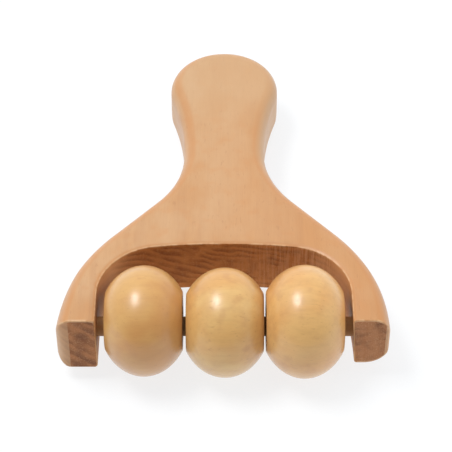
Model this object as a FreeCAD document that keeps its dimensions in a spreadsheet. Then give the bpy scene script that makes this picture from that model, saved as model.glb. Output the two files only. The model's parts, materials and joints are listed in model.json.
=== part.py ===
import FreeCAD, Part
import math
import os
import Sketcher

# Wooden three-roller massager: a one-piece wooden fork with a paddle-shaped handle, a dowel glued
# through both of its arms, and three turned barrel rollers that spin loosely on the dowel. The
# rollers are turned by hand, so their diameters and their resting places differ a little.
#
# Lengths are in millimetres. The fork and the dowel are drawn in the fork's own directions: X along
# the dowel, Y from the dowel towards the end of the handle, Z through the thickness of the board,
# with the origin where the dowel crosses the middle of the board. A roller is drawn about its own
# centre, turning about X. Placements then lay the massager down on its rollers and on the end of
# its handle, +Z up, with the middle of its box above the document's origin.

SIZES = {
    "board_thickness": 27.0,
    # outline of the fork, right half
    "end_radius": 66.0,
    "paddle_half": 24.2,
    "paddle_radius": 24.0,
    "paddle_centre": 137.2,
    "neck_half": 17.6,
    "neck_centre": 93.4,
    "neck_radius": 47.0,
    "shoulder_half": 68.0,
    "shoulder_radius": 79.0,
    "shoulder_back": 10.5,
    "arm_reach": 9.0,
    # the opening between the arms
    "opening_half": 51.3,
    "opening_depth": 34.1,
    "opening_top_radius": 250.0,
    "opening_corner_radius": 26.0,
    # sanded edges of the fork
    "upper_round": 7.0,
    "lower_round": 8.0,
    "arm_end_round": 2.5,
    "opening_round": 0.8,
    # dowel
    "dowel_diameter": 8.0,
    # rollers: part of an egg shape roller_swell long, cut flat at both ends; each lies a little
    # behind the dowel, and the dowel lies dowel_drop below the centre of the largest one
    "roller_left_diameter": 45.0,
    "roller_middle_diameter": 44.6,
    "roller_right_diameter": 46.0,
    "roller_left_back": 0.9,
    "roller_middle_back": 0.2,
    "roller_right_back": 0.1,
    "roller_swell": 36.8,
    "roller_width": 31.4,
    "roller_edge_round": 0.6,
    "roller_bore": 14.0,
    "bore_round": 0.8,
    "dowel_drop": 2.85,
    "gap_arm_left": 3.3,
    "gap_left_middle": 1.3,
    "gap_middle_right": 0.8,
}

# the rollers from the left, each with the cell that holds the gap before it
ROLLERS = (
    ("roller_left", "gap_arm_left"),
    ("roller_middle", "gap_left_middle"),
    ("roller_right", "gap_middle_right"),
)

# Ends of a line or an arc, and its centre, as Sketcher counts them
START, END, CENTRE = 1, 2, 3
# Sketcher's numbers for the sketch's own X axis (whose start is the origin) and Y axis
X_AXIS, Y_AXIS = -1, -2


def handle_end(size):
    """Distance from the dowel to the far end of the handle."""
    beside = size["paddle_half"] - size["paddle_radius"]
    inset = math.sqrt((size["end_radius"] - size["paddle_radius"]) ** 2 - beside**2)
    return size["paddle_centre"] + size["end_radius"] - inset


def rest_pose(size):
    """Tilt in degrees of the resting board, and the dowel's Y and Z.

    The rollers stand on the ground with the dowel low in their bores, and the rounded lower edge
    at the end of the handle touches the ground too.
    """
    largest = max(size[f"{name}_diameter"] for name, gap_before in ROLLERS) / 2
    dowel_z = largest - size["dowel_drop"]
    lower_z = size["board_thickness"] / 2 - size["lower_round"]
    lower_y = handle_end(size) - size["lower_round"]
    reach = math.hypot(lower_y, lower_z)
    tilt = math.asin((dowel_z - size["lower_round"]) / reach) - math.atan2(lower_z, lower_y)
    upper_z = size["board_thickness"] / 2 - size["upper_round"]
    upper_y = handle_end(size) - size["upper_round"]
    far = upper_y * math.cos(tilt) + upper_z * math.sin(tilt) + size["upper_round"]
    near = min(size[f"{name}_back"] - size[f"{name}_diameter"] / 2 for name, gap_before in ROLLERS)
    return math.degrees(tilt), -(far + near) / 2, dowel_z


def make_sheet(doc):
    """The spreadsheet that drives the sketches, the features and the placements."""
    tilt, dowel_y, dowel_z = rest_pose(SIZES)
    cells = dict(SIZES, rest_tilt=tilt, rest_y=dowel_y, rest_z=dowel_z)
    sheet = doc.addObject("Spreadsheet::Sheet", "sizes")
    for row, (alias, value) in enumerate(cells.items(), start=1):
        sheet.set(f"A{row}", alias)
        sheet.set(f"B{row}", f"{value:.6f}")
        sheet.setAlias(f"B{row}", alias)
    doc.recompute()


def origin_plane(body, role):
    """One of the body's own origin planes."""
    return next(item for item in body.Origin.OriginFeatures if item.Role == role)


def new_sketch(body, name, role):
    """A sketch on one of the body's own origin planes."""
    sketch = body.newObject("Sketcher::SketchObject", name)
    sketch.AttachmentSupport = [(origin_plane(body, role), "")]
    sketch.MapMode = "FlatFace"
    return sketch


def flat_circle(centre, radius):
    """A circle in a sketch's own plane."""
    return Part.Circle(FreeCAD.Vector(*centre, 0), FreeCAD.Vector(0, 0, 1), radius)


def add_arc(sketch, centre, radius, first, last):
    """An arc drawn anticlockwise between two angles in radians."""
    return sketch.addGeometry(Part.ArcOfCircle(flat_circle(centre, radius), first, last), False)


def add_circle(sketch, centre, radius):
    """A full circle."""
    return sketch.addGeometry(flat_circle(centre, radius), False)


def add_line(sketch, first, last):
    """A straight line between two points of the sketch."""
    segment = Part.LineSegment(FreeCAD.Vector(*first, 0), FreeCAD.Vector(*last, 0))
    return sketch.addGeometry(segment, False)


def relate(sketch, kind, *references):
    """A constraint that holds no dimension."""
    sketch.addConstraint(Sketcher.Constraint(kind, *references))


def measure(sketch, name, expression, value, kind, *references):
    """A named dimension, tied to the sheet by an expression."""
    index = sketch.addConstraint(Sketcher.Constraint(kind, *references, value))
    sketch.renameConstraint(index, name)
    sketch.setExpression(f"Constraints.{name}", expression)


def draw_half_outline(sketch, size):
    """The right half of the fork: one closed loop of tangent arcs and straight lines."""
    # where the arcs' centres are, and the angles at which neighbouring arcs touch
    end = (0, handle_end(size) - size["end_radius"])
    paddle = (size["paddle_half"] - size["paddle_radius"], size["paddle_centre"])
    spare = size["paddle_half"] - size["neck_half"]
    across = size["neck_half"] - paddle[0]
    along = paddle[1] - size["neck_centre"]
    hollow = (across**2 + along**2 - size["paddle_radius"] ** 2) / (2 * spare)
    upper_neck = (size["neck_half"] + hollow, size["neck_centre"])
    lower_neck = (size["neck_half"] + size["neck_radius"], size["neck_centre"])
    shoulder = (size["shoulder_half"] - size["shoulder_radius"], -size["shoulder_back"])
    corner_x = size["opening_half"] - size["opening_corner_radius"]
    top = (0, size["opening_depth"] - size["opening_top_radius"])
    rise = math.sqrt((size["opening_top_radius"] - size["opening_corner_radius"]) ** 2 - corner_x**2)
    corner = (corner_x, top[1] + rise)
    at_end = math.atan2(paddle[1] - end[1], paddle[0])
    at_paddle = math.atan2(upper_neck[1] - paddle[1], upper_neck[0] - paddle[0])
    span = math.dist(lower_neck, shoulder)
    bearing = math.atan2(lower_neck[1] - shoulder[1], lower_neck[0] - shoulder[0])
    at_flare = bearing - math.acos((size["neck_radius"] + size["shoulder_radius"]) / span)
    at_front = math.asin((size["shoulder_back"] - size["arm_reach"]) / size["shoulder_radius"])
    at_corner = math.atan2(corner[1] - top[1], corner[0])

    def on_arc(centre, radius, angle):
        return (centre[0] + radius * math.cos(angle), centre[1] + radius * math.sin(angle))

    end_arc = add_arc(sketch, end, size["end_radius"], at_end, math.pi / 2)
    paddle_arc = add_arc(sketch, paddle, size["paddle_radius"], at_paddle, at_end)
    upper_arc = add_arc(sketch, upper_neck, hollow, at_paddle + math.pi, math.pi)
    lower_arc = add_arc(sketch, lower_neck, size["neck_radius"], math.pi, math.pi + at_flare)
    flare_first = on_arc(lower_neck, size["neck_radius"], math.pi + at_flare)
    flare_last = on_arc(shoulder, size["shoulder_radius"], at_flare)
    flare_line = add_line(sketch, flare_first, flare_last)
    shoulder_arc = add_arc(sketch, shoulder, size["shoulder_radius"], at_front, at_flare)
    front_outer = on_arc(shoulder, size["shoulder_radius"], at_front)
    front_inner = (size["opening_half"], -size["arm_reach"])
    front_line = add_line(sketch, front_outer, front_inner)
    inner_line = add_line(sketch, front_inner, (size["opening_half"], corner[1]))
    corner_arc = add_arc(sketch, corner, size["opening_corner_radius"], 0, at_corner)
    top_arc = add_arc(sketch, top, size["opening_top_radius"], at_corner, math.pi / 2)
    middle_line = add_line(sketch, (0, size["opening_depth"]), (0, handle_end(size)))

    relate(sketch, "Tangent", end_arc, START, paddle_arc, END)
    relate(sketch, "Tangent", paddle_arc, START, upper_arc, START)
    relate(sketch, "Tangent", upper_arc, END, lower_arc, START)
    relate(sketch, "Tangent", lower_arc, END, flare_line, START)
    relate(sketch, "Tangent", flare_line, END, shoulder_arc, END)
    relate(sketch, "Coincident", shoulder_arc, START, front_line, START)
    relate(sketch, "Coincident", front_line, END, inner_line, START)
    relate(sketch, "Tangent", inner_line, END, corner_arc, START)
    relate(sketch, "Tangent", corner_arc, END, top_arc, START)
    relate(sketch, "Coincident", top_arc, END, middle_line, START)
    relate(sketch, "Coincident", middle_line, END, end_arc, END)
    for curve in (end_arc, top_arc):
        relate(sketch, "PointOnObject", curve, END, Y_AXIS)
        relate(sketch, "PointOnObject", curve, CENTRE, Y_AXIS)
    relate(sketch, "Horizontal", lower_arc, START, lower_arc, CENTRE)
    relate(sketch, "Horizontal", front_line)
    relate(sketch, "Vertical", inner_line)

    for curve, cell in (
        (end_arc, "end_radius"),
        (paddle_arc, "paddle_radius"),
        (lower_arc, "neck_radius"),
        (shoulder_arc, "shoulder_radius"),
        (corner_arc, "opening_corner_radius"),
        (top_arc, "opening_top_radius"),
    ):
        measure(sketch, cell, f"sizes.{cell}", size[cell], "Radius", curve)
    for name, curve, point, expression, value in (
        ("paddle_x", paddle_arc, CENTRE, "sizes.paddle_half - sizes.paddle_radius", paddle[0]),
        ("shoulder_x", shoulder_arc, CENTRE, "sizes.shoulder_half - sizes.shoulder_radius", shoulder[0]),
        ("neck_x", lower_arc, START, "sizes.neck_half", size["neck_half"]),
        ("opening_x", inner_line, START, "sizes.opening_half", size["opening_half"]),
    ):
        measure(sketch, name, expression, value, "DistanceX", X_AXIS, START, curve, point)
    for name, curve, point, expression, value in (
        ("paddle_y", paddle_arc, CENTRE, "sizes.paddle_centre", paddle[1]),
        ("shoulder_y", shoulder_arc, CENTRE, "-sizes.shoulder_back", shoulder[1]),
        ("neck_y", lower_arc, START, "sizes.neck_centre", size["neck_centre"]),
        ("opening_y", top_arc, END, "sizes.opening_depth", size["opening_depth"]),
        ("front_y", front_line, END, "-sizes.arm_reach", -size["arm_reach"]),
    ):
        measure(sketch, name, expression, value, "DistanceY", X_AXIS, START, curve, point)


def mirror_across_middle(body, originals, name, mode):
    """Repeats what was made on the right side on the left side."""
    mirror = body.newObject("PartDesign::Mirrored", name)
    mirror.Originals = originals
    mirror.TransformMode = mode
    mirror.MirrorPlane = (origin_plane(body, "YZ_Plane"), [""])
    body.Tip = mirror
    return mirror


def cut_through(body, sketch, name):
    """A pocket through everything on both sides of its sketch."""
    pocket = body.newObject("PartDesign::Pocket", name)
    pocket.Profile = sketch
    pocket.Type = "ThroughAll"
    pocket.SideType = "Symmetric"
    return pocket


def round_edges(doc, body, name, cell, wanted):
    """Rounds the edges of the body's last feature for which wanted(middle point, edge) holds."""
    base = body.Tip
    edges = []
    for number, edge in enumerate(base.Shape.Edges, start=1):
        middle = edge.valueAt((edge.FirstParameter + edge.LastParameter) / 2)
        if wanted(middle, edge):
            edges.append(f"Edge{number}")
    if not edges:
        raise RuntimeError(f"{name} has no edge to round")
    before = base.Shape.Volume
    fillet = body.newObject("PartDesign::Fillet", name)
    fillet.Base = (base, edges)
    fillet.setExpression("Radius", f"sizes.{cell}")
    doc.recompute()
    if not fillet.Shape.Volume < before:
        raise RuntimeError(f"{name} took nothing away")


def make_fork(doc, size):
    """The handle and its two arms, cut from one board."""
    body = doc.addObject("PartDesign::Body", "handle_frame")
    outline = new_sketch(body, "fork_outline", "XY_Plane")
    draw_half_outline(outline, size)
    board = body.newObject("PartDesign::Pad", "fork_half")
    board.Profile = outline
    board.SideType = "Symmetric"
    board.setExpression("Length", "sizes.board_thickness")
    mirror_across_middle(body, [board], "fork_both_halves", "Features")
    doc.recompute()
    blank = body.Tip.Shape.Volume

    dowel_circle = new_sketch(body, "dowel_circle", "YZ_Plane")
    circle = add_circle(dowel_circle, (0, 0), size["dowel_diameter"] / 2)
    relate(dowel_circle, "Coincident", circle, CENTRE, X_AXIS, START)
    diameter = size["dowel_diameter"]
    measure(dowel_circle, "diameter", "sizes.dowel_diameter", diameter, "Diameter", circle)
    cut_through(body, dowel_circle, "dowel_holes")
    doc.recompute()
    if not body.Tip.Shape.Volume < blank:
        raise RuntimeError("the dowel holes took nothing away")

    half = size["board_thickness"] / 2
    front = -size["arm_reach"]
    near = 0.01

    def behind_end(point):
        return point.y > front + near

    def in_opening(point):
        beside = abs(point.x) < size["opening_half"] + near
        return beside and point.y < size["opening_depth"] + near and behind_end(point)

    def on_outline(point):
        return behind_end(point) and not in_opening(point)

    def is_upper(point, edge):
        return abs(point.z - half) < near and on_outline(point)

    def is_lower(point, edge):
        return abs(point.z + half) < near and on_outline(point)

    def is_outer_end(point, edge):
        on_end = all(not behind_end(vertex.Point) for vertex in edge.Vertexes)
        return on_end and abs(point.x) > size["opening_half"] + size["upper_round"]

    def is_opening(point, edge):
        return abs(abs(point.z) - half) < near and in_opening(point)

    round_edges(doc, body, "upper_edges", "upper_round", is_upper)
    round_edges(doc, body, "lower_edges", "lower_round", is_lower)
    round_edges(doc, body, "arm_end_edges", "arm_end_round", is_outer_end)
    round_edges(doc, body, "opening_edges", "opening_round", is_opening)
    return body


def make_dowel(doc, size):
    """The axle: a dowel whose ends are sanded flush with the outsides of the arms."""
    body = doc.addObject("PartDesign::Body", "axle_dowel")
    section = new_sketch(body, "dowel_section", "YZ_Plane")
    circle = add_circle(section, (0, 0), size["dowel_diameter"] / 2)
    relate(section, "Coincident", circle, CENTRE, X_AXIS, START)
    diameter = size["dowel_diameter"]
    measure(section, "diameter", "sizes.dowel_diameter", diameter, "Diameter", circle)
    rod = body.newObject("PartDesign::Pad", "dowel_rod")
    rod.Profile = section
    rod.SideType = "Symmetric"
    rod.setExpression("Length", "2 * sizes.shoulder_half + sizes.dowel_diameter")
    doc.recompute()
    uncut = rod.Shape.Volume

    # everything outside the shoulder's arc is sanded away
    trim = new_sketch(body, "shoulder_ring", "XY_Plane")
    centre = (size["shoulder_half"] - size["shoulder_radius"], -size["shoulder_back"])
    inner = add_circle(trim, centre, size["shoulder_radius"])
    outer = add_circle(trim, centre, size["shoulder_radius"] + size["dowel_diameter"])
    relate(trim, "Coincident", inner, CENTRE, outer, CENTRE)
    radius = size["shoulder_radius"]
    measure(trim, "inner", "sizes.shoulder_radius", radius, "Radius", inner)
    outer_expression = "sizes.shoulder_radius + sizes.dowel_diameter"
    measure(trim, "outer", outer_expression, radius + size["dowel_diameter"], "Radius", outer)
    x_expression = "sizes.shoulder_half - sizes.shoulder_radius"
    measure(trim, "ring_x", x_expression, centre[0], "DistanceX", X_AXIS, START, inner, CENTRE)
    measure(trim, "ring_y", "-sizes.shoulder_back", centre[1], "DistanceY", X_AXIS, START, inner, CENTRE)
    right_end = cut_through(body, trim, "right_end")
    mirror_across_middle(body, [right_end], "both_ends", "Features")
    doc.recompute()
    if not body.Tip.Shape.Volume < right_end.Shape.Volume < uncut:
        raise RuntimeError("the dowel's ends are not both trimmed")
    return body


def make_roller(doc, size, name):
    """A barrel roller, turned about X from an elliptical outline, with a loose bore."""
    body = doc.addObject("PartDesign::Body", name)
    profile = new_sketch(body, f"{name}_profile", "XY_Plane")
    half = size["roller_width"] / 2
    bore = size["roller_bore"] / 2
    crown = size[f"{name}_diameter"] / 2
    reach = size["roller_swell"] / 2
    flat = crown * math.sqrt(1 - (half / reach) ** 2)
    # the ellipse's angles are counted anticlockwise from its crown
    ellipse = Part.Ellipse(
        FreeCAD.Vector(0, crown, 0), FreeCAD.Vector(-reach, 0, 0), FreeCAD.Vector(0, 0, 0)
    )
    turn = math.asin(half / reach)
    belly = profile.addGeometry(Part.ArcOfEllipse(ellipse, -turn, turn), False)
    profile.exposeInternalGeometry(belly)
    long_axis, short_axis = belly + 1, belly + 2
    bore_line = add_line(profile, (-half, bore), (half, bore))
    right_line = add_line(profile, (half, bore), (half, flat))
    left_line = add_line(profile, (-half, flat), (-half, bore))
    relate(profile, "Coincident", bore_line, END, right_line, START)
    relate(profile, "Coincident", right_line, END, belly, START)
    relate(profile, "Coincident", belly, END, left_line, START)
    relate(profile, "Coincident", left_line, END, bore_line, START)
    relate(profile, "Symmetric", bore_line, START, bore_line, END, Y_AXIS)
    relate(profile, "Vertical", right_line)
    relate(profile, "Vertical", left_line)
    relate(profile, "Coincident", belly, CENTRE, X_AXIS, START)
    relate(profile, "Vertical", long_axis)
    for dimension, cell, value, axis in (
        ("crown", f"{name}_diameter", 2 * crown, long_axis),
        ("swell", "roller_swell", 2 * reach, short_axis),
    ):
        measure(profile, dimension, f"sizes.{cell}", value, "Distance", axis, START, axis, END)
    bore_corner = (X_AXIS, START, right_line, START)
    measure(profile, "half_width", "sizes.roller_width / 2", half, "DistanceX", *bore_corner)
    measure(profile, "bore", "sizes.roller_bore / 2", bore, "DistanceY", *bore_corner)
    turned = body.newObject("PartDesign::Revolution", f"{name}_turned")
    turned.Profile = profile
    turned.ReferenceAxis = (profile, ["H_Axis"])
    turned.Angle = 360
    doc.recompute()

    def is_ring(edge, radius):
        on_face = abs(abs(edge.BoundBox.XMin) - half) < 0.01 and edge.BoundBox.XLength < 0.01
        return on_face and abs(edge.BoundBox.YMax - radius) < 0.01

    def is_rim(point, edge):
        return is_ring(edge, flat)

    def is_mouth(point, edge):
        return is_ring(edge, bore)

    round_edges(doc, body, f"{name}_rims", "roller_edge_round", is_rim)
    round_edges(doc, body, f"{name}_bore_mouths", "bore_round", is_mouth)
    return body


def place(body, x, y, z, tilt=None):
    """Ties a body's placement to the sheet; tilt lowers its +Y end by that many degrees."""
    lean = FreeCAD.Rotation(FreeCAD.Vector(-1, 0, 0), 1)
    body.Placement = FreeCAD.Placement(FreeCAD.Vector(), lean)
    for axis, expression in (("x", x), ("y", y), ("z", z)):
        body.setExpression(f"Placement.Base.{axis}", expression)
    body.setExpression("Placement.Rotation.Angle", tilt or "0")


def main():
    doc = FreeCAD.newDocument("roller_massager")
    make_sheet(doc)
    fork = make_fork(doc, SIZES)
    dowel = make_dowel(doc, SIZES)
    for body in (fork, dowel):
        place(body, "0", "sizes.rest_y", "sizes.rest_z", tilt="sizes.rest_tilt")

    bodies = [fork, dowel]
    passed = "-sizes.opening_half"
    for name, gap_before in ROLLERS:
        roller = make_roller(doc, SIZES, name)
        left_edge = f"{passed} + sizes.{gap_before}"
        x = f"{left_edge} + sizes.roller_width / 2"
        place(roller, x, f"sizes.rest_y + sizes.{name}_back", f"sizes.{name}_diameter / 2")
        bodies.append(roller)
        passed = f"{left_edge} + sizes.roller_width"

    doc.recompute()
    for item in doc.Objects:
        if "Invalid" in item.State or "Error" in item.State:
            raise RuntimeError(f"{item.Name} failed: {item.State}")
    os.makedirs("parts", exist_ok=True)
    for body in bodies:
        shape = body.Shape
        if shape.isNull() or not shape.isValid() or len(shape.Solids) != 1:
            raise RuntimeError(f"{body.Label} is not one valid solid")
        shape.exportStep(f"parts/{body.Label}.step")
        box = shape.BoundBox
        print(body.Label, "volume", round(shape.Volume), "box", box)


main()
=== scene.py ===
import json
import math

import bmesh
import bpy
import numpy as np
from mathutils import Matrix, Vector


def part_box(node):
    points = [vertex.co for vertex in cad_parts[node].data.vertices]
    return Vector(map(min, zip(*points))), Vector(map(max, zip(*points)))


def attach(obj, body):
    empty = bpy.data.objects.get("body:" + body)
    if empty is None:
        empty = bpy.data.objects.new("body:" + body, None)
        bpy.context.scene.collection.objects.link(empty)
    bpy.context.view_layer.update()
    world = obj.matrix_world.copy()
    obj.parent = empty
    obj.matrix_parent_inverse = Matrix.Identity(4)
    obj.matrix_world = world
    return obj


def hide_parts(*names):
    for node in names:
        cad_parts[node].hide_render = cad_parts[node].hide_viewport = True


# Looks of the wooden three-roller massager. Lengths are in metres. The fork is worked out in its
# board's own directions: X along the dowel, Y from the dowel to the end of the handle, Z through
# the board's thickness, with the origin where the dowel crosses the middle of the board.

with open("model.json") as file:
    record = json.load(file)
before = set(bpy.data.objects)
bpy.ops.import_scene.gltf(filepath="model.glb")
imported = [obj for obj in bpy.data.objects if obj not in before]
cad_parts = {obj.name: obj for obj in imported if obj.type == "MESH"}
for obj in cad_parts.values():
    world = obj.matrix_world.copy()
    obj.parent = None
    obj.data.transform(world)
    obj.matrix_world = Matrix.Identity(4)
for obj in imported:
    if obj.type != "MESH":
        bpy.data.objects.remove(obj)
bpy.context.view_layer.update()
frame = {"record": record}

MM = 0.001
LEFT, RIGHT = -1, 1

# ---------------------------------------------------------------- places read from the frame
mounts = {mount["name"]: mount for mount in frame["record"]["mounts"]}
board_up = Vector(mounts["upper_face"]["axis"]).normalized()
board_along = Vector((0, board_up.z, -board_up.y))
upper_point = Vector(mounts["upper_face"]["pos_m"])
lower_point = Vector(mounts["lower_face"]["pos_m"])
THICKNESS = (upper_point - lower_point).dot(board_up)
dowel_low, dowel_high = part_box("axle_dowel")
dowel_centre = (dowel_low + dowel_high) / 2
board_to_row = Matrix.Translation(dowel_centre) @ Matrix(
    ((1, 0, 0), tuple(board_along), tuple(board_up))
).transposed().to_4x4()

# ---------------------------------------------------------------- sizes of the fork
END_RADIUS = 66.0 * MM
PADDLE_HALF = 24.2 * MM
PADDLE_RADIUS = 24.0 * MM
PADDLE_CENTRE = 137.2 * MM
NECK_HALF = 17.6 * MM
NECK_CENTRE = 93.4 * MM
NECK_RADIUS = 47.0 * MM
SHOULDER_HALF = 67.4 * MM
SHOULDER_RADIUS = 79.0 * MM
SHOULDER_BACK = 10.5 * MM
FRONT = -9.0 * MM
OPENING_HALF = 51.3 * MM
OPENING_DEPTH = 34.1 * MM
OPENING_TOP_RADIUS = 250.0 * MM
OPENING_CORNER_RADIUS = 26.0 * MM
UPPER_ROUND = 7.0 * MM
LOWER_ROUND = 8.0 * MM
DOWEL_RADIUS = 4.0 * MM

# What hand sanding left different on the two arms: the rounding of the end's outer corner (how
# wide and how long it is, and how far it turns), how much is off the outside, how far the inner
# wall leans out at the bottom, how far the end reaches past FRONT (top and bottom), the rounding of
# the end's lower edge, and how far in and down the long edges are rounded at the end.
CORNER_ROUND = {LEFT: (7.6 * MM, 4.8 * MM), RIGHT: (2.5 * MM, 2.5 * MM)}
CORNER_TURN = {LEFT: math.radians(72), RIGHT: math.radians(60)}
SANDED_OFF = {LEFT: 0.0, RIGHT: 0.2 * MM}
WALL_LEAN = {LEFT: 0.0, RIGHT: 1.7 * MM}
END_REACH = {LEFT: (0.3 * MM, 1.4 * MM), RIGHT: (0.0, -0.2 * MM)}
END_LOWER_ROUND = {LEFT: 0.6 * MM, RIGHT: 2.3 * MM}
END_UPPER_ROUND = 0.7 * MM
END_SIDE_ROUND = 0.5 * MM
END_UPPER = {LEFT: (7.0 * MM, 12.0 * MM), RIGHT: (7.0 * MM, 8.5 * MM)}
END_LOWER = {LEFT: (6.0 * MM, 5.2 * MM), RIGHT: (10.0 * MM, 9.5 * MM)}
SANDING_START = 25.0 * MM
OPENING_UPPER = (2.4 * MM, 1.0 * MM)
OPENING_LOWER = (0.9 * MM, 0.9 * MM)
SHOULDER_LEAN = 0.5 * MM
ARM_LEAN = -0.6 * MM

# an edge whose rounding has this radius or less is painted pale, partly as worn bare wood and partly
# as a painted edge highlight
PALE_EDGE_RADIUS = 1.1 * MM

# how finely the fork is drawn: the spacing along its outlines, the points down its edges, the rows
# of an arm's end (which take the place of the outline's last stretch, END_BLOCK long), and how many
# faces of the opening's upper rounding are varnished like the outside
OUTLINE_STEP = 0.8 * MM
OUTER_POINTS = 44
INNER_POINTS = 38
END_BLOCK = 2.6 * MM
END_ROWS = 1.95 * MM
END_ROW_COUNT = 15
BAND_FACES = 3
SECTION_SOFTNESS = 0.25 * MM


# ---------------------------------------------------------------- outlines
def arc(centre, radius, first, last):
    """Points and outward normals along an arc, for a shape that lies inside the arc."""
    count = max(4, math.ceil(abs(last - first) * radius / OUTLINE_STEP))
    angles = np.linspace(first, last, count + 1)
    normals = np.stack([np.cos(angles), np.sin(angles)], axis=1)
    return np.array(centre) + radius * normals, normals


def straight(first, last):
    """Points and outward normals along a straight stretch, with the shape on its left."""
    first, last = np.array(first), np.array(last)
    length = math.dist(first, last)
    count = max(2, math.ceil(length / OUTLINE_STEP))
    points = first + (last - first) * np.linspace(0, 1, count + 1)[:, None]
    along = (last - first) / length
    return points, np.tile([along[1], -along[0]], (count + 1, 1))


def hollow(stretch):
    """The same stretch with the shape on its other side."""
    points, normals = stretch
    return points, -normals


def chain(*stretches):
    """Joins stretches that meet end to end, dropping each one's first point after the first."""
    points = [stretches[0][0]] + [stretch[0][1:] for stretch in stretches[1:]]
    normals = [stretches[0][1]] + [stretch[1][1:] for stretch in stretches[1:]]
    return np.concatenate(points), np.concatenate(normals)


def both_sides(points, normals):
    """Adds the mirror image of a right half that ends on the middle line."""
    flip = np.array([-1, 1])
    return (
        np.concatenate([points, points[-2::-1] * flip]),
        np.concatenate([normals, normals[-2::-1] * flip]),
    )


def outer_outline(start_y):
    """The outside of the fork, from the right arm round the handle to the left arm."""
    side = (PADDLE_HALF - PADDLE_RADIUS, PADDLE_CENTRE)
    inset = math.sqrt((END_RADIUS - PADDLE_RADIUS) ** 2 - side[0] ** 2)
    end = (0, PADDLE_CENTRE - inset)
    across = NECK_HALF - side[0]
    along = PADDLE_CENTRE - NECK_CENTRE
    neck_radius = (across**2 + along**2 - PADDLE_RADIUS**2) / (2 * (PADDLE_HALF - NECK_HALF))
    upper = (NECK_HALF + neck_radius, NECK_CENTRE)
    lower = (NECK_HALF + NECK_RADIUS, NECK_CENTRE)
    shoulder = (SHOULDER_HALF - SHOULDER_RADIUS, -SHOULDER_BACK)
    bearing = math.atan2(lower[1] - shoulder[1], lower[0] - shoulder[0])
    flare = bearing - math.acos((NECK_RADIUS + SHOULDER_RADIUS) / math.dist(lower, shoulder))
    touch = np.array([math.cos(flare), math.sin(flare)])
    at_start = math.asin((start_y + SHOULDER_BACK) / SHOULDER_RADIUS)
    at_paddle = math.atan2(upper[1] - side[1], upper[0] - side[0])
    at_end = math.atan2(side[1] - end[1], side[0])
    return both_sides(
        *chain(
            arc(shoulder, SHOULDER_RADIUS, at_start, flare),
            straight(shoulder + SHOULDER_RADIUS * touch, lower - NECK_RADIUS * touch),
            hollow(arc(lower, NECK_RADIUS, math.pi + flare, math.pi)),
            hollow(arc(upper, neck_radius, math.pi, math.pi + at_paddle)),
            arc(side, PADDLE_RADIUS, at_paddle, at_end),
            arc(end, END_RADIUS, at_end, math.pi / 2),
        )
    )


def inner_outline(start_y):
    """The edge of the opening, from the right arm round the arch to the left arm."""
    corner_x = OPENING_HALF - OPENING_CORNER_RADIUS
    top = (0, OPENING_DEPTH - OPENING_TOP_RADIUS)
    rise = math.sqrt((OPENING_TOP_RADIUS - OPENING_CORNER_RADIUS) ** 2 - corner_x**2)
    corner = (corner_x, top[1] + rise)
    at_corner = math.atan2(corner[1] - top[1], corner[0])
    return both_sides(
        *chain(
            hollow(straight((OPENING_HALF, start_y), (OPENING_HALF, corner[1]))),
            hollow(arc(corner, OPENING_CORNER_RADIUS, 0, at_corner)),
            hollow(arc(top, OPENING_TOP_RADIUS, at_corner, math.pi / 2)),
        )
    )


def round_inset(radius, distance):
    """How far a rounding of this radius has drawn in at a distance before its end."""
    if distance >= radius:
        return 0.0
    return radius - math.sqrt(radius**2 - (radius - distance) ** 2)


def corner_inset(side, y):
    """How far an arm's outer wall has drawn in at the rounded corner of its end."""
    wide, long = CORNER_ROUND[side]
    remains = wide * (1 - math.sin(CORNER_TURN[side]))
    return round_inset(wide, (y - FRONT) * wide / long + remains)


def step(value, low, high):
    """A smooth step from 0 to 1 as the value goes from low to high."""
    share = min(1.0, max(0.0, (value - low) / (high - low)))
    return share * share * (3 - 2 * share)


def sanding(y):
    """0 where the hand sanding of an arm begins, 1 at its end."""
    return 1 - step(y, FRONT, SANDING_START)


def lean(y):
    """How far to the right the hand-sawn outside lies: the shoulders one way, the arms the other."""
    shoulders = step(y, 15 * MM, 50 * MM) * (1 - step(y, 60 * MM, 95 * MM))
    return SHOULDER_LEAN * shoulders + ARM_LEAN * (1 - step(y, -15 * MM, 20 * MM))


def sanded(first, last, y):
    """A rounding's (inset, drop) at y, between its usual one and the one at the arm's end."""
    return tuple(a + (b - a) * sanding(y) for a, b in zip(first, last))


def end_reach(side, z):
    """How far an arm's end, not quite squarely sawn, reaches past FRONT at a height."""
    top, bottom = END_REACH[side]
    return top + (bottom - top) * (0.5 - z / THICKNESS)


def soften(points, reach, count):
    """Evenly spaced points along a smoothed copy of an open outline; its two ends stay."""
    points = np.array(points)
    fine = 600
    lengths = np.concatenate([[0], np.cumsum(np.linalg.norm(np.diff(points, axis=0), axis=1))])
    even = np.linspace(0, lengths[-1], fine)
    places = np.stack([np.interp(even, lengths, column) for column in points.T], axis=1)
    spacing = lengths[-1] / (fine - 1)
    span = max(1, math.ceil(3 * reach / spacing))
    window = np.exp(-0.5 * (np.arange(-span, span + 1) * spacing / reach) ** 2)
    window /= window.sum()
    before = 2 * places[0] - places[span:0:-1]
    after = 2 * places[-1] - places[-2 : -span - 2 : -1]
    padded = np.concatenate([before, places, after])
    smooth = np.stack([np.convolve(column, window, "valid") for column in padded.T], axis=1)
    chosen = np.linspace(0, fine - 1, count).round().astype(int)
    return smooth[chosen]


def quarter(radius_in, radius_down, cut=0.0):
    """Insets and drops along a rounding, from the flat face to where a wall cuts it off."""
    last = math.asin(1 - cut / radius_in)
    return [
        (radius_in * (1 - math.sin(turn)), radius_down * (1 - math.cos(turn)))
        for turn in np.linspace(0, last, 12)
    ]


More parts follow.
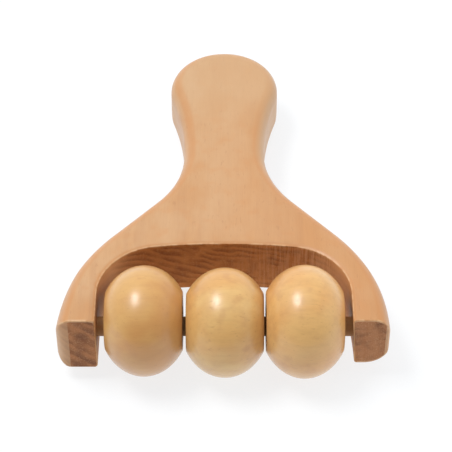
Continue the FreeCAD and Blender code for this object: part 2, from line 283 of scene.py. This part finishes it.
def section(top, bottom, upper, lower, cut, count):
    """Insets and heights down a board's edge; upper and lower are the roundings' (inset, drop)."""
    above = [(inset, top - drop) for inset, drop in quarter(*upper, cut)]
    below = [(inset, bottom + drop) for inset, drop in reversed(quarter(*lower, cut))]
    return soften(above + below, SECTION_SOFTNESS, count)


def outer_section(side, y, end_gap):
    """The outer edge's section at y; end_gap is the distance to the arm's end, for its roundings."""
    half = THICKNESS / 2
    top = half - round_inset(END_UPPER_ROUND, end_gap)
    bottom = -half + round_inset(END_LOWER_ROUND[side], end_gap)
    cut = corner_inset(side, y) + round_inset(END_SIDE_ROUND, end_gap)
    upper = sanded((UPPER_ROUND, UPPER_ROUND), END_UPPER[side], y)
    lower = sanded((LOWER_ROUND, LOWER_ROUND), END_LOWER[side], y)
    return section(top, bottom, upper, lower, cut, OUTER_POINTS)


def inner_section(side, y, end_gap):
    """The opening edge's section at y, with a sanded upper edge and the wall's lean."""
    half = THICKNESS / 2
    top = half - round_inset(END_UPPER_ROUND, end_gap)
    bottom = -half + round_inset(END_LOWER_ROUND[side], end_gap)
    rows = section(top, bottom, OPENING_UPPER, OPENING_LOWER, 0.0, INNER_POINTS)
    leaning = WALL_LEAN[side] * sanding(y) * (half - rows[:, 1]) / THICKNESS
    rows[:, 0] += leaning + round_inset(END_SIDE_ROUND, end_gap)
    return rows


def arm_outside(side, y):
    """How far out an arm's outer wall is at y, without its end's corner."""
    centre = SHOULDER_HALF - SHOULDER_RADIUS
    reach = math.sqrt(SHOULDER_RADIUS**2 - (y + SHOULDER_BACK) ** 2)
    return centre + reach - SANDED_OFF[side] * sanding(y) + side * lean(y)


# ---------------------------------------------------------------- mesh helpers
def mark_edges(bm, smooth_below=38):
    """Smooth shading, except where faces meet at more than the given angle."""
    limit = math.radians(smooth_below)
    for face in bm.faces:
        face.smooth = True
    for edge in bm.edges:
        edge.smooth = edge.calc_face_angle(0) < limit


def mark_wear_and_highlight(bm):
    """Stores how sharply the surface bends outward at each vertex, 0 to 1, as "wear"."""
    layer = bm.verts.layers.float.new("wear_and_highlight")
    for vert in bm.verts:
        bend = 0.0
        for edge in vert.link_edges:
            if edge.is_manifold:
                first, second = (face.calc_center_median() for face in edge.link_faces)
                bend = max(bend, edge.calc_face_angle_signed() / (first - second).length)
        vert[layer] = min(1.0, bend * PALE_EDGE_RADIUS)


def object_from(name, bm):
    """Turns a bmesh into an object of the scene."""
    bmesh.ops.recalc_face_normals(bm, faces=bm.faces)
    mark_edges(bm)
    mesh = bpy.data.meshes.new(name)
    bm.to_mesh(mesh)
    bm.free()
    piece = bpy.data.objects.new(name, mesh)
    bpy.context.scene.collection.objects.link(piece)
    return piece


def bridge(bm, first, second, closed=False, finish=0):
    """Quads between two rows of vertices, all of one finish or each of its own."""
    count = len(first)
    for i in range(count if closed else count - 1):
        j = (i + 1) % count
        face = bm.faces.new((first[i], first[j], second[j], second[i]))
        face.material_index = finish[i] if isinstance(finish, list) else finish


def drill(piece, centre, radius, length):
    """A round hole through a piece along X."""
    bm = bmesh.new()
    bmesh.ops.create_cone(
        bm, cap_ends=True, segments=96, radius1=radius, radius2=radius, depth=length
    )
    bm.transform(Matrix.Translation(centre) @ Matrix.Rotation(math.pi / 2, 4, "Y"))
    cutter = object_from("drill", bm)
    cut = piece.modifiers.new("hole", "BOOLEAN")
    cut.operation = "DIFFERENCE"
    cut.solver = "EXACT"
    cut.object = cutter
    evaluated = piece.evaluated_get(bpy.context.evaluated_depsgraph_get())
    drilled = bpy.data.meshes.new_from_object(evaluated)
    piece.modifiers.clear()
    bm = bmesh.new()
    bm.from_mesh(drilled)
    bmesh.ops.remove_doubles(bm, verts=bm.verts, dist=1e-6)
    mark_edges(bm)
    mark_wear_and_highlight(bm)
    bm.to_mesh(piece.data)
    bm.free()
    bpy.data.meshes.remove(drilled)
    bpy.data.objects.remove(cutter)


def lathe(name, profile, centre, segments):
    """A closed profile of (x, radius) pairs turned about a line along X."""
    bm = bmesh.new()
    rings = []
    for x, radius in profile:
        ring = []
        for k in range(segments):
            angle = 2 * math.pi * k / segments
            place = Vector((x, radius * math.cos(angle), radius * math.sin(angle)))
            ring.append(bm.verts.new(Vector(centre) + place))
        rings.append(ring)
    for first, second in zip(rings, rings[1:] + rings[:1]):
        bridge(bm, first, second, closed=True)
    return object_from(name, bm)


# ---------------------------------------------------------------- pieces
# the fork's material slots: its outside, the sawn wall of the opening, and the arms' end faces
SIDE_FINISH, CUT_FINISH, END_FINISH = 0, 1, 2


def make_fork():
    """The fork: edge sections swept round both outlines, flat faces, and the arms' ends."""
    start = FRONT + END_BLOCK
    bm = bmesh.new()

    def row(point, normal, rows):
        return [
            bm.verts.new((point[0] - normal[0] * inset, point[1] - normal[1] * inset, z))
            for inset, z in rows
        ]

    outer = []
    for point, normal in zip(*outer_outline(start)):
        side = RIGHT if point[0] > 0 else LEFT
        y = point[1]
        place = point - normal * SANDED_OFF[side] * sanding(y) + np.array([lean(y), 0])
        outer.append(row(place, normal, outer_section(side, y, y - FRONT)))
    inner = []
    for point, normal in zip(*inner_outline(start)):
        side = RIGHT if point[0] > 0 else LEFT
        inner.append(row(point, normal, inner_section(side, point[1], point[1] - FRONT)))
    wall = [SIDE_FINISH] * BAND_FACES + [CUT_FINISH] * (INNER_POINTS - 1 - BAND_FACES)
    for rows, finish in ((outer, SIDE_FINISH), (inner, wall)):
        for first, second in zip(rows, rows[1:]):
            bridge(bm, first, second, finish=finish)
    bm.faces.new([r[0] for r in outer] + [r[0] for r in reversed(inner)])
    bm.faces.new([r[-1] for r in outer] + [r[-1] for r in reversed(inner)])

    # the ends' rows start clear of the last swept ones, whose inner sides lie a little further on
    gaps = END_ROWS * (1 - np.sin(np.linspace(0, math.pi / 2, END_ROW_COUNT)))
    for side, outer_row, inner_row in ((RIGHT, outer[0], inner[0]), (LEFT, outer[-1], inner[-1])):
        last = outer_row + inner_row[::-1]
        finishes = [SIDE_FINISH] * OUTER_POINTS + wall[::-1] + [SIDE_FINISH]
        for gap in gaps:
            y = FRONT + gap
            outside = [(arm_outside(side, y) - inset, z) for inset, z in outer_section(side, y, gap)]
            inside = [(OPENING_HALF + inset, z) for inset, z in inner_section(side, y, gap)]
            fresh = [
                bm.verts.new((side * x, y - end_reach(side, z) * (1 - gap / END_BLOCK), z))
                for x, z in outside + inside[::-1]
            ]
            bridge(bm, last, fresh, closed=True, finish=finishes)
            last = fresh
        bm.faces.new(last).material_index = END_FINISH
    bm.transform(board_to_row)
    return object_from("fork_board", bm)


DOWEL_RECESS = 0.06 * MM
DOWEL_RIM = 0.3 * MM
DOWEL_SEGMENTS = 72


def make_dowel():
    """The dowel, with ends that follow the outsides of the arms a hair below their surface."""
    bm = bmesh.new()

    def ring(radius, side, inward, share=1.0):
        verts = []
        for k in range(DOWEL_SEGMENTS):
            angle = 2 * math.pi * k / DOWEL_SEGMENTS
            y = radius * math.cos(angle)
            end = arm_outside(side, y) - corner_inset(side, y) - DOWEL_RECESS
            x = side * share * (end - inward)
            verts.append(bm.verts.new((x, y, radius * math.sin(angle))))
        return verts

    def end_rings(side):
        """From the middle of an end face out over its softened rim."""
        flat_radius = DOWEL_RADIUS - DOWEL_RIM
        flat = [ring(flat_radius * share, side, 0.0) for share in (0.25, 0.5, 0.75, 1)]
        rim = []
        for turn in np.linspace(0, math.pi / 2, 5)[1:]:
            radius = DOWEL_RADIUS - DOWEL_RIM * (1 - math.sin(turn))
            rim.append(ring(radius, side, DOWEL_RIM * (1 - math.cos(turn))))
        return flat + rim

    left, right = end_rings(LEFT), end_rings(RIGHT)
    middle = [
        ring(DOWEL_RADIUS, RIGHT if share > 0 else LEFT, DOWEL_RIM, abs(share))
        for share in np.linspace(-0.9, 0.9, 14)
    ]
    rings = left + middle + right[::-1]
    for first, second in zip(rings, rings[1:]):
        bridge(bm, first, second, closed=True)
    bm.faces.new(left[0])
    bm.faces.new(right[0])
    bm.transform(board_to_row)
    return object_from("dowel", bm)


ROLLER_SWELL = 36.8 * MM
ROLLER_BORE_RADIUS = 7.0 * MM
BORE_ROUND = 0.8 * MM
RIM_SOFTNESS = 0.16 * MM
ROLLER_SEGMENTS = 144


def roller_profile(half_width, radius):
    """Section of a roller: bore, flat end faces, softened rims and the elliptical belly."""
    turn = math.asin(2 * half_width / ROLLER_SWELL)
    flat = radius * math.cos(turn)
    mouth = [
        (half_width - inset, ROLLER_BORE_RADIUS + drop)
        for drop, inset in reversed(quarter(BORE_ROUND, BORE_ROUND))
    ]
    belly = [
        (ROLLER_SWELL / 2 * math.sin(angle), radius * math.cos(angle))
        for angle in np.linspace(turn, 0, 80)
    ]
    half = soften(mouth + [(half_width, flat)] + belly, RIM_SOFTNESS, 90)
    mirrored = [(-x, r) for x, r in half[-2::-1]]
    bore = [(x, ROLLER_BORE_RADIUS) for x in np.linspace(-0.8, 0.8, 5) * half_width]
    return [tuple(pair) for pair in half] + mirrored + bore


# ---------------------------------------------------------------- materials
class Shader:
    """A node material under construction; sockets take numbers, colours or other nodes' outputs."""

    def __init__(self, name):
        self.material = bpy.data.materials.new(name)
        self.material.use_nodes = True
        self.tree = self.material.node_tree
        self.tree.nodes.clear()

    def feed(self, socket, value):
        if isinstance(value, bpy.types.NodeSocket):
            self.tree.links.new(value, socket)
        else:
            socket.default_value = value

    def node(self, kind, **inputs):
        made = self.tree.nodes.new(kind)
        for key, value in inputs.items():
            self.feed(made.inputs[key.replace("_", " ")], value)
        return made

    def ordered(self, kind, operation, *values):
        """A math or vector-math node fed by position."""
        made = self.tree.nodes.new(kind)
        made.operation = operation
        for socket, value in zip(made.inputs, values):
            self.feed(socket, value)
        return made

    def math(self, operation, *values):
        return self.ordered("ShaderNodeMath", operation, *values).outputs[0]

    def dot(self, vector, direction):
        values = (vector, tuple(direction))
        return self.ordered("ShaderNodeVectorMath", "DOT_PRODUCT", *values).outputs["Value"]

    def combine(self, x, y, z):
        return self.node("ShaderNodeCombineXYZ", X=x, Y=y, Z=z).outputs[0]

    def noise(self, vector, scale, detail=2.0, roughness=0.5):
        made = self.node(
            "ShaderNodeTexNoise", Vector=vector, Scale=scale, Detail=detail, Roughness=roughness
        )
        return made.outputs["Fac"]

    def between(self, value, low, high, to_low=0.0, to_high=1.0):
        """A smooth step from to_low to to_high as the value goes from low to high."""
        made = self.tree.nodes.new("ShaderNodeMapRange")
        made.interpolation_type = "SMOOTHSTEP"
        for socket, given in zip(made.inputs, (value, low, high, to_low, to_high)):
            self.feed(socket, given)
        return made.outputs["Result"]

    def mix(self, share, first, second):
        made = self.tree.nodes.new("ShaderNodeMix")
        made.data_type = "RGBA"
        for socket, value in zip((made.inputs[0], *made.inputs[6:8]), (share, first, second)):
            self.feed(socket, value)
        return made.outputs[2]

    def layer(self, share, strength, base, over):
        """Lays one colour over another, by a mask times a strength."""
        return self.mix(self.math("MULTIPLY", share, strength), base, over)

    def finish(self, **inputs):
        surface = self.node("ShaderNodeBsdfPrincipled", **inputs)
        self.node("ShaderNodeOutputMaterial", Surface=surface.outputs[0])
        return self.material


def rgb(red, green, blue):
    """Screen values from 0 to 255, turned into the linear colour that a shader takes."""

    def linear(value):
        share = value / 255
        return share / 12.92 if share <= 0.04045 else ((share + 0.055) / 1.055) ** 2.4

    return (linear(red), linear(green), linear(blue), 1.0)


def wood(name, grain, up, look):
    """Varnished wood: clouds, growth rings, fibres, flecks, and darker, porous end grain.

    grain is the fibres' direction and up a direction across them. The growth rings are circles
    about a line along the grain, at look's pith: its place in millimetres across and up.
    """
    s = Shader(name)
    coordinates = s.tree.nodes.new("ShaderNodeTexCoord")
    here = s.ordered(
        "ShaderNodeVectorMath",
        "MULTIPLY_ADD",
        coordinates.outputs["Object"],
        (1 / MM, 1 / MM, 1 / MM),
        look["shift"],
    ).outputs["Vector"]
    grain, up = Vector(grain), Vector(up)
    along = s.dot(here, grain)
    across = s.dot(here, grain.cross(up))
    height = s.dot(here, up)

    def stretched(squeeze):
        """Coordinates in which everything is drawn out along the grain."""
        return s.combine(across, s.math("MULTIPLY", along, squeeze), height)

    # growth rings, of uneven strength, that wander slowly along the grain
    pith_across, pith_height = look["pith"]
    aside = s.math("SUBTRACT", across, pith_across)
    above = s.math("SUBTRACT", height, pith_height)
    squares = s.math("MULTIPLY_ADD", above, above, s.math("MULTIPLY", aside, aside))
    radius = s.math("SQRT", squares)
    wander = s.noise(stretched(0.22), look["wander_scale"], 2.0)
    ripple = s.noise(stretched(0.22), 0.16, 2.0, 0.6)
    rings = s.math("MULTIPLY_ADD", wander, look["wander"], radius)
    rings = s.math("MULTIPLY_ADD", ripple, look["ripple"], rings)
    rings = s.math("DIVIDE", rings, look["ring_spacing"])
    place = s.math("FRACT", rings)
    late = s.math("MULTIPLY", s.between(place, 0.1, 0.72), s.between(place, 1.0, 0.78))
    patches = s.noise(stretched(0.1), 0.09, 2.0)
    ring = s.math("MULTIPLY", late, s.between(patches, 0.4, 0.62))

    fibre = s.noise(stretched(0.05), 2.4, 3.0, 0.6)
    streak = s.noise(stretched(0.03), 0.5, 2.0)
    fleck = s.between(s.noise(stretched(0.25), look["fleck_scale"], 1.0), 0.66, 0.76)
    cloud = s.noise(stretched(0.6), 0.05, 3.0, 0.55)
    blotch = s.noise(here, 0.16, 2.0, 0.5)

    tone = s.mix(s.between(cloud, 0.34, 0.66), look["pale"], look["warm"])
    tone = s.layer(s.between(blotch, 0.5, 0.75), look["blotch"], tone, look["stain_and_shade"])
    heart_from, heart_to, heart_share = look["heart"]
    tone = s.layer(s.between(across, heart_from, heart_to), heart_share, tone, look["stain_and_shade"])
    tone = s.layer(ring, look["ring"], tone, look["dark"])
    tone = s.layer(s.between(streak, 0.45, 0.7), look["streak"], tone, look["dark"])
    tone = s.layer(s.between(fibre, 0.42, 0.75), look["fibre"], tone, look["dark"])
    tone = s.layer(fleck, look["fleck"], tone, look["dark"])

    # painted shade: the roundings between the flat faces and the sides are darkened with the stain
    # colour, standing in for their shading
    normal = coordinates.outputs["Normal"]
    upright = s.math("ABSOLUTE", s.dot(normal, up))
    rounded = s.math("MULTIPLY", s.between(upright, 0.995, 0.93), s.between(upright, 0.55, 0.8))
    tone = s.layer(rounded, look["rounding"], tone, look["stain_and_shade"])

    # the handle is a little paler on top and, from further down, on its right side; the paler right
    # side is a painted sheen
    handle_from, handle_to, paler_top_and_sheen_share = look["paler_top_and_sheen"]
    sideways = s.dot(normal, grain.cross(up))
    paler_top_and_right_sheen = s.math("MULTIPLY", s.between(along, handle_from, handle_to), s.between(sideways, -0.7, 0.1))
    painted_sheen_beside = s.between(along, handle_from - 15, handle_from + 10)
    painted_sheen_beside = s.math("MULTIPLY", painted_sheen_beside, s.between(sideways, 0.2, 0.8))
    tone = s.layer(s.math("MAXIMUM", paler_top_and_right_sheen, painted_sheen_beside), paler_top_and_sheen_share, tone, look["paler_top_and_sheen_tone"])

    # end grain soaks up more stain and shows its rings, pores and saw marks
    facing = s.math("ABSOLUTE", s.dot(normal, grain))
    end = s.between(facing, *look["end_from"])
    pore = s.between(s.noise(here, 2.3, 2.0, 0.7), 0.5, 0.7)
    upright_marks = s.combine(s.math("MULTIPLY", across, 1.1), 0.0, s.math("MULTIPLY", height, 0.07))
    saw = s.noise(upright_marks, 1.0, 3.0, 0.6)
    end_tone = s.layer(ring, look["end_ring"], look["end"], look["end_dark"])
    end_tone = s.layer(s.between(blotch, 0.4, 0.7), look["end_blotch"], end_tone, look["end_dark"])
    end_tone = s.layer(pore, look["end_pore"], end_tone, look["end_light"])
    torn = s.math("MULTIPLY", s.between(saw, 0.33, 0.68), s.between(across, -5.0, 50.0))
    end_tone = s.layer(torn, look["end_saw"], end_tone, look["end_light"])
    colour = s.layer(end, look["end_share"], tone, end_tone)

    # sharp edges are painted pale, here more and there less: partly worn bare wood, partly a painted
    # highlight along the edge; only the fork carries the attribute
    if look["wear_and_highlight"]:
        attribute = s.tree.nodes.new("ShaderNodeAttribute")
        attribute.attribute_name = "wear_and_highlight"
        pale_edge = s.between(attribute.outputs["Fac"], 0.45, 0.95)
        pale_edge = s.math("MULTIPLY", pale_edge, s.between(s.noise(here, 0.4), 0.32, 0.6))
        colour = s.layer(pale_edge, look["wear_and_highlight"], colour, look["worn_and_highlight"])

    relief = s.math("MULTIPLY_ADD", s.math("MULTIPLY", pore, end), 0.8, fibre)
    bump = s.node("ShaderNodeBump", Strength=look["bump"], Distance=0.05 * MM, Height=relief)
    gloss = s.between(s.noise(stretched(0.3), 0.25, 3.0), 0.3, 0.7, *look["roughness"])
    return s.finish(
        Base_Color=colour,
        Roughness=gloss,
        Normal=bump.outputs[0],
        Coat_Weight=look["coat"],
        Coat_Roughness=look["coat_roughness"],
        Coat_IOR=1.5,
        Specular_IOR_Level=look["specular"],
    )


# Lengths in the looks are in millimetres. Pairs and triples are the values at which something
# begins and is full, with its share after them.
FORK_LOOK = {
    "shift": (0.0, 0.0, 0.0),
    "pale": rgb(203, 161, 119),
    "warm": rgb(198, 149, 102),
    "stain_and_shade": rgb(202, 138, 80),
    "dark": rgb(160, 105, 66),
    "pith": (25.0, 140.0),
    "ring_spacing": 3.2,
    "wander": 8.0,
    "wander_scale": 0.05,
    "ripple": 3.0,
    "ring": 0.1,
    "streak": 0.04,
    "fibre": 0.09,
    "fleck": 0.18,
    "fleck_scale": 1.1,
    "blotch": 0.25,
    "end_from": (0.65, 1.0),
    "end_share": 0.4,
    "end": rgb(178, 117, 65),
    "end_dark": rgb(120, 66, 28),
    "end_light": rgb(230, 184, 140),
    "end_ring": 0.6,
    "end_blotch": 0.35,
    "end_saw": 0.6,
    "end_pore": 0.25,
    "heart": (-20.0, 30.0, 0.38),
    "paler_top_and_sheen": (10.0, 70.0, 0.5),
    "paler_top_and_sheen_tone": rgb(204, 170, 131),
    "rounding": 0.45,
    "wear_and_highlight": 0.55,
    "worn_and_highlight": rgb(232, 196, 152),
    "bump": 0.3,
    "roughness": (0.4, 0.52),
    "coat": 0.25,
    "coat_roughness": 0.28,
    "specular": 0.4,
}
# out of reach of every piece, for a change of tone that a look goes without
NOWHERE = (200.0, 300.0, 0.0)
CUT_LOOK = dict(
    FORK_LOOK,
    pale=rgb(214, 166, 118),
    warm=rgb(208, 156, 106),
    end=rgb(184, 120, 66),
    end_from=(0.5, 1.0),
    end_share=1.0,
    coat=0.0,
    specular=0.05,
)
END_LOOK = dict(
    FORK_LOOK,
    end_share=1.0,
    end=rgb(180, 119, 75),
    end_dark=rgb(100, 54, 31),
    ring_spacing=4.6,
    end_ring=0.6,
    end_blotch=0.45,
    end_saw=0.1,
    end_pore=0.35,
    coat=0.0,
    specular=0.2,
)
ROLLER_LOOK = dict(
    FORK_LOOK,
    stain_and_shade=rgb(196, 140, 90),
    dark=rgb(180, 126, 74),
    pith=(8.0, -60.0),
    ring_spacing=3.4,
    wander=4.0,
    ripple=1.5,
    ring=0.07,
    streak=0.1,
    fibre=0.1,
    heart=NOWHERE,
    paler_top_and_sheen=NOWHERE,
    rounding=0.0,
    wear_and_highlight=0.0,
    fleck=0.28,
    blotch=0.35,
    end_from=(0.9, 0.99),
    end_share=1.0,
    end=rgb(176, 122, 74),
    end_dark=rgb(140, 88, 48),
    end_light=rgb(204, 158, 108),
    bump=0.12,
    roughness=(0.34, 0.42),
    coat=0.82,
    coat_roughness=0.27,
    specular=0.45,
)
# how each roller's grain is turned about the dowel, in radians
ROLLER_TURNS = (0.4, 2.5, 4.6)
ROLLER_LOOKS = (
    dict(ROLLER_LOOK, pale=rgb(216, 168, 101), warm=rgb(205, 148, 84), shift=(11.0, 3.0, 7.0)),
    dict(ROLLER_LOOK, pale=rgb(227, 187, 120), warm=rgb(219, 167, 99), shift=(40.0, 12.0, 5.0)),
    dict(ROLLER_LOOK, pale=rgb(227, 180, 113), warm=rgb(221, 163, 96), shift=(83.0, 5.0, 31.0)),
)
DOWEL_LOOK = dict(
    FORK_LOOK,
    pale=rgb(204, 156, 106),
    warm=rgb(192, 140, 88),
    dark=rgb(132, 84, 44),
    stain_and_shade=rgb(158, 102, 56),
    ring_spacing=1.6,
    end_share=1.0,
    heart=NOWHERE,
    paler_top_and_sheen=NOWHERE,
    rounding=0.0,
    wear_and_highlight=0.0,
    coat=0.0,
    specular=0.15,
)


# ---------------------------------------------------------------- the object's pieces
# the hole is a hair wider than the dowel, so that their walls do not coincide
HOLE_RADIUS = DOWEL_RADIUS + 0.01 * MM
ACROSS = Vector((1, 0, 0))
fork = make_fork()
drill(fork, dowel_centre, HOLE_RADIUS, 4 * OPENING_HALF)
for finish, look in (("wood", FORK_LOOK), ("cut", CUT_LOOK), ("end", END_LOOK)):
    fork.data.materials.append(wood(f"fork_{finish}_finish", board_along, board_up, look))
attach(fork, "root")
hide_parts("handle_frame")

dowel = make_dowel()
dowel.data.materials.append(wood("dowel_wood_finish", ACROSS, board_up, DOWEL_LOOK))
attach(dowel, "root")
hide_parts("axle_dowel")

for number, body in enumerate(("roller_left", "roller_middle", "roller_right")):
    roller_low, roller_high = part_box(body)
    size = roller_high - roller_low
    profile = roller_profile(size.x / 2, size.z / 2)
    centre = (roller_low + roller_high) / 2
    roller = lathe(f"{body}_barrel", profile, centre, ROLLER_SEGMENTS)
    face = Vector((0, math.cos(ROLLER_TURNS[number]), math.sin(ROLLER_TURNS[number])))
    roller.data.materials.append(wood(f"{body}_finish", ACROSS, face, ROLLER_LOOKS[number]))
    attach(roller, body)
    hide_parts(body)


# ---------------------------------------------------------------- floor, light and camera
def make_floor():
    """A plain white surface under the massager."""
    bm = bmesh.new()
    bmesh.ops.create_grid(bm, x_segments=1, y_segments=1, size=3.0)
    floor = object_from("floor", bm)
    s = Shader("floor_white")
    glow = {"Emission_Color": (0.96, 0.98, 1, 1), "Emission_Strength": 0.795}
    floor.data.materials.append(s.finish(Base_Color=(0.21, 0.21, 0.21, 1), Roughness=0.9, **glow))


def make_world(front, back, seen):
    """White light from all round, weaker from the front, and a pale backdrop behind everything."""
    world = bpy.data.worlds.new("studio")
    world.use_nodes = True
    tree = world.node_tree
    tree.nodes.clear()
    made = {kind: tree.nodes.new(f"ShaderNode{kind}") for kind in (
        "TexCoord", "SeparateXYZ", "MapRange", "LightPath", "MixShader", "OutputWorld"
    )}
    light, backdrop = (tree.nodes.new("ShaderNodeBackground") for _ in range(2))
    for node in (light, backdrop):
        node.inputs["Color"].default_value = (1, 1, 1, 1)
    backdrop.inputs["Strength"].default_value = seen
    for socket, value in zip(made["MapRange"].inputs[1:5], (-0.8, 0.8, front, back)):
        socket.default_value = value
    for source, target in (
        (made["TexCoord"].outputs["Generated"], made["SeparateXYZ"].inputs[0]),
        (made["SeparateXYZ"].outputs["Y"], made["MapRange"].inputs["Value"]),
        (made["MapRange"].outputs["Result"], light.inputs["Strength"]),
        (made["LightPath"].outputs["Is Camera Ray"], made["MixShader"].inputs[0]),
        (light.outputs[0], made["MixShader"].inputs[1]),
        (backdrop.outputs[0], made["MixShader"].inputs[2]),
        (made["MixShader"].outputs[0], made["OutputWorld"].inputs["Surface"]),
    ):
        tree.links.new(source, target)
    bpy.context.scene.world = world


def add_softbox(name, place, size, power, mirrored=True):
    """An oval soft light that faces the massager; mirrored says whether varnish reflects it."""
    light = bpy.data.lights.new(name, "AREA")
    light.shape = "ELLIPSE"
    light.size, light.size_y = size
    light.energy = power
    lamp = bpy.data.objects.new(name, light)
    lamp.visible_glossy = mirrored
    back = Vector(place).normalized()
    above = back.cross(ACROSS).normalized()
    axes = Matrix((above.cross(back), above, back)).transposed().to_4x4()
    lamp.matrix_world = Matrix.Translation(place) @ axes
    bpy.context.scene.collection.objects.link(lamp)


# the camera looks at a point on the board's middle plane, along the board and down onto it
SENSOR = 36.0
LENS = 139.38
VIEW_ANGLE = math.radians(45)
VIEW_DISTANCE = 0.750
AIM = Vector((0.82, 57.5, 0)) * MM


def make_camera():
    into = Vector((0, math.cos(VIEW_ANGLE), -math.sin(VIEW_ANGLE)))
    above = Vector((0, math.sin(VIEW_ANGLE), math.cos(VIEW_ANGLE)))
    data = bpy.data.cameras.new("camera")
    data.sensor_width = SENSOR
    data.lens = LENS
    camera = bpy.data.objects.new("camera", data)
    axes = Matrix((ACROSS, above, -into)).transposed().to_4x4()
    place = Matrix.Translation(AIM - into * VIEW_DISTANCE)
    camera.matrix_world = board_to_row @ place @ axes
    bpy.context.scene.collection.objects.link(camera)
    bpy.context.scene.camera = camera


make_floor()
make_world(front=0.24, back=0.72, seen=0.92)
KEY_WAY = Vector((-0.39, 0.08, 0.92))
add_softbox("key", KEY_WAY * 1.3, (0.42, 0.62), 8.3)
SKY_WAY = Vector((-0.25, 0.08, 0.95))
add_softbox("sky", SKY_WAY * 1.5, (2.4, 0.9), 6.6, mirrored=False)
FILL_WAY = Vector((0.90, 0.05, 0.42))
add_softbox("fill", FILL_WAY * 1.5, (1.0, 1.0), 5.2, mirrored=False)
make_camera()
bpy.context.scene.view_settings.view_transform = "Standard"
